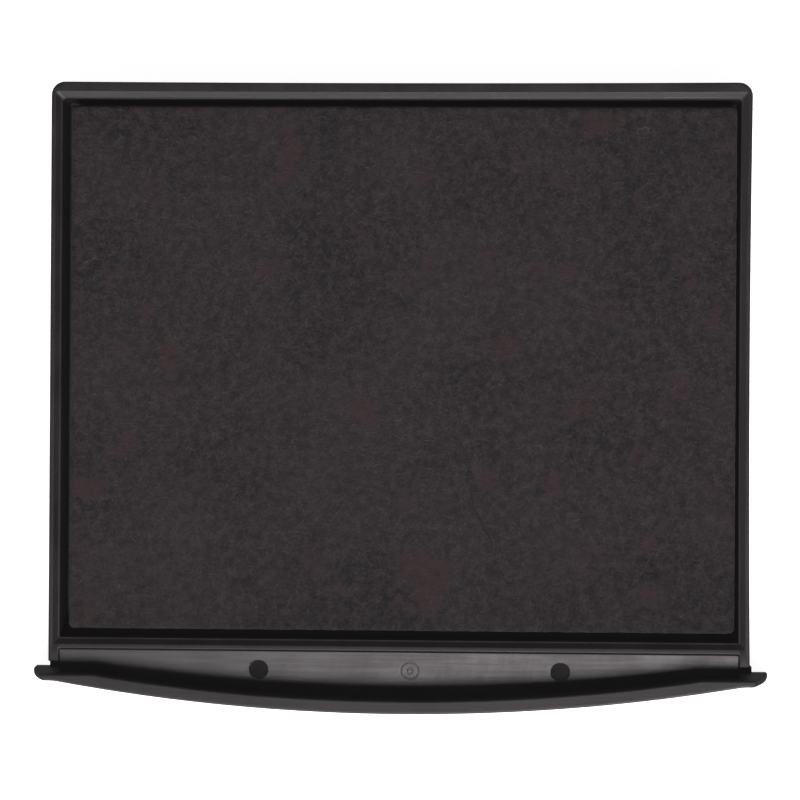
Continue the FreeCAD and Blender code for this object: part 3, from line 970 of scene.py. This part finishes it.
def hair_path(sizes):
    """The one stray hair: a cubic curve of a few points, lying on the nap."""
    t = np.linspace(0, 1, 24)[:, None]
    knots = np.array([(0.00805, -0.0097), (0.0080, -0.0122), (0.0092, -0.0140), (0.0105, -0.0162)])
    flat = ((1 - t) ** 3 * knots[0] + 3 * t * (1 - t) ** 2 * knots[1]
            + 3 * t**2 * (1 - t) * knots[2] + t**3 * knots[3])
    height = fleece_height(flat[:, 0], flat[:, 1], sizes) + sizes.hair_radius * 0.5
    return np.column_stack([flat, height])[None]


def felt_shell():
    """The felt block: a rounded outline stacked to its height, its sides waving slightly in and out."""
    corners = rectangle(FELT_LOW.x, FELT_HIGH.x, FELT_LOW.y, FELT_HIGH.y)
    reach = np.full(4, 0.0001)
    low, high = FELT_LOW.z, FELT_HIGH.z
    edge = 0.0003
    wave, pitch = 0.00003, 9000
    between = [(wave * (1 + np.sin(pitch * z)), z) for z in np.linspace(low + edge, high - edge, 8)[1:-1]]
    stack = foot_turn(low, edge) + between + top_turn(high, edge)
    return loft([at_height(rounded_loop(*inset(corners, reach, drawn), 8), z) for drawn, z in stack])


# ---- operators ----


class CASSETTE_OT_tray(bpy.types.Operator):
    """Builds the tray with its tabs, recess, underside ribs and tongue pockets"""

    bl_idname = "cassette.tray"
    bl_label = "Tray"

    def execute(self, context):
        sizes = context.scene.cassette_tray
        finish = context.scene.cassette_finish
        material = plastic("moulded tray plastic", finish.tray, 0.42, 0.56, 0.5, 0.5, 90)
        tray = put_in("tray_shell", [tray_body(sizes)], weighted=False)
        cut_pockets(tray, sizes, context.scene.cassette_grip)
        declare(tray, "tray", material)
        ribs = put_in("tray_base_ribs", [base_ribs(sizes)])
        declare(ribs, None, material)
        return {"FINISHED"}


class CASSETTE_OT_grip(bpy.types.Operator):
    """Builds the front grip: bowed plate, trough with mould marks, webs, shoulders and snap tongues"""

    bl_idname = "cassette.grip"
    bl_label = "Front grip"

    def execute(self, context):
        sizes = context.scene.cassette_grip
        finish = context.scene.cassette_finish
        material = plastic("moulded grip plastic", finish.grip, 0.42, 0.54, 0.8, 1.0)
        marked = plastic(
            "moulded trough plastic", finish.grip, 0.34, 0.46, 0.8, 1.0, gloss=0.34, polish=POLISHED
        )
        groups = {
            "grip_fascia": [fascia(sizes)] + shoulders(sizes),
            "grip_trough": [trough_floor(sizes)],
            "grip_webs": trough_webs(sizes),
            "grip_tongues": tongues(sizes, context.scene.cassette_tray),
        }
        for name, shells in groups.items():
            piece = put_in(name, shells, weighted=name != "grip_trough")
            declare(piece, "front_grip", marked if name == "grip_trough" else material)
        mark_polish(bpy.data.objects["grip_trough"].data, sizes)
        return {"FINISHED"}


class CASSETTE_OT_pad(bpy.types.Operator):
    """Builds the inked fleece with its nap and loose fibres, and the felt under it"""

    bl_idname = "cassette.pad"
    bl_label = "Pad"

    def execute(self, context):
        sizes = context.scene.cassette_pad
        finish = context.scene.cassette_finish
        fleece = put_in("inked_fleece", [fleece_shell(sizes)], weighted=False)
        declare(fleece, "inking_fleece", fleece_material(finish))
        felt = put_in("felt_block", [felt_shell()])
        declare(felt, "felt_reservoir", felt_material(finish))
        fibres = put_in("fleece_fibres", [strands(fibre_paths(sizes), sizes.fibre_radius)], weighted=False)
        pale = fibre_material("loose fibre", lighter(finish.fleece_light, 0.5), 0.6)
        declare(fibres, None, pale)
        hair = put_in("stray_hair", [strands(hair_path(sizes), sizes.hair_radius, 6)], weighted=False)
        declare(hair, None, fibre_material("stray hair", HAIR_COLOUR, 0.75))
        return {"FINISHED"}


class CASSETTE_OT_film(bpy.types.Operator):
    """Gives the bonding film under the felt its finish"""

    bl_idname = "cassette.film"
    bl_label = "Bonding film"

    def execute(self, context):
        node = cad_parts["bonding_film"]
        material = film_material(context.scene.cassette_finish)
        if not node.material_slots:
            node.data.materials.append(material)
        for slot in node.material_slots:
            slot.material = material
        return {"FINISHED"}


class CASSETTE_OT_stage(bpy.types.Operator):
    """Sets the pale floor, the soft studio lights and the camera"""

    bl_idname = "cassette.stage"
    bl_label = "Stage"

    def execute(self, context):
        scene = context.scene
        make_floor(scene.cassette_finish)
        make_lights()
        make_camera(scene)
        scene.view_settings.view_transform = "Standard"
        scene.view_settings.look = "None"
        veil_lens(scene.view_settings)
        return {"FINISHED"}


def veil_lens(settings, share=0.0055):
    """Lifts black by a small share of white, as a lens does in front of a bright table."""
    settings.use_curve_mapping = True
    settings.curve_mapping.black_level = (-share, -share, -share)
    settings.curve_mapping.update()


def make_floor(finish):
    """A wide pale floor that glows like a lit product table and leaves no mirror image in the plastic."""
    half = 1.5
    corners = [(-half, -half, 0), (half, -half, 0), (half, half, 0), (-half, half, 0)]
    mesh = bpy.data.meshes.new("studio_floor")
    mesh.from_pydata(corners, [], [(0, 1, 2, 3)])
    floor = bpy.data.objects.new("studio_floor", mesh)
    floor.location.z = -0.00002
    floor.visible_glossy = False
    bpy.context.scene.collection.objects.link(floor)
    shading = Shading("studio floor")
    shading.set(Base_Color=shading.tinted(shading.noise(0.002, 3, 0.6), finish.floor, 0.03, 0.3, 0.7))
    shading.set(Roughness=0.9, Specular_IOR_Level=0.1, Emission_Color=(1, 1, 1, 1), Emission_Strength=0.92)
    mesh.materials.append(shading.material)


def add_panel(name, place, size, power):
    """A soft, slightly warm rectangular light that faces the object."""
    light = bpy.data.lights.new(name, "AREA")
    light.shape = "RECTANGLE"
    light.size, light.size_y = size
    light.energy = power
    light.color = (1.0, 0.94, 0.965)
    lamp = bpy.data.objects.new(name, light)
    lamp.location = place
    lamp.rotation_euler = lamp.location.to_track_quat("Z", "Y").to_euler()
    bpy.context.scene.collection.objects.link(lamp)


def make_lights():
    """A softbox high in front and a little to the right, a low strip in front, a weak one on the left, and
    a dim even background."""
    add_panel("softbox", (0.13, -0.55, 0.80), (0.52, 0.42), 10.0)
    add_panel("low front strip", (0.0, -0.95, 0.16), (1.2, 0.30), 6.0)
    add_panel("low left strip", (-0.95, 0.0, 0.16), (0.9, 0.24), 0.9)
    world = bpy.data.worlds.new("studio")
    world.use_nodes = True
    back = world.node_tree.nodes["Background"]
    back.inputs["Color"].default_value = (1, 1, 1, 1)
    back.inputs["Strength"].default_value = 0.1
    bpy.context.scene.world = world


def make_camera(scene):
    """A long lens, nearly straight above."""
    data = bpy.data.cameras.new("camera")
    data.lens = 115.56
    data.sensor_width = 36
    data.clip_start = 0.01
    camera = bpy.data.objects.new("camera", data)
    camera.location = (0.01071, -0.00045, 0.2925)
    camera.rotation_euler = (radians(0.034), radians(2.125), radians(0.35))
    scene.collection.objects.link(camera)
    scene.camera = camera


class CASSETTE_PT_panel(bpy.types.Panel):
    """Lists the cassette's pieces and their sizes"""

    bl_idname = "CASSETTE_PT_panel"
    bl_label = "Ink-pad cassette"
    bl_space_type = "VIEW_3D"
    bl_region_type = "UI"
    bl_category = "Ink Pad"

    def draw(self, context):
        for operator in OPERATORS:
            self.layout.operator(operator.bl_idname)
        for name in GROUPS:
            group = getattr(context.scene, name)
            box = self.layout.box()
            for key in group.__annotations__:
                box.prop(group, key, text=key.replace("_", " ").capitalize())


OPERATORS = (CASSETTE_OT_tray, CASSETTE_OT_grip, CASSETTE_OT_pad, CASSETTE_OT_film, CASSETTE_OT_stage)
GROUPS = {
    "cassette_tray": TraySizes,
    "cassette_grip": GripSizes,
    "cassette_pad": PadSizes,
    "cassette_finish": Finishes,
}


CLASSES = (*GROUPS.values(), *OPERATORS, CASSETTE_PT_panel)


def register():
    for kind in CLASSES:
        bpy.utils.register_class(kind)
    for name, group in GROUPS.items():
        setattr(bpy.types.Scene, name, PointerProperty(type=group))


def unregister():
    for name in GROUPS:
        delattr(bpy.types.Scene, name)
    for kind in reversed(CLASSES):
        bpy.utils.unregister_class(kind)


def main():
    register()
    bpy.ops.cassette.tray()
    bpy.ops.cassette.grip()
    bpy.ops.cassette.pad()
    bpy.ops.cassette.film()
    bpy.ops.cassette.stage()


if __name__ == "__main__":
    main()
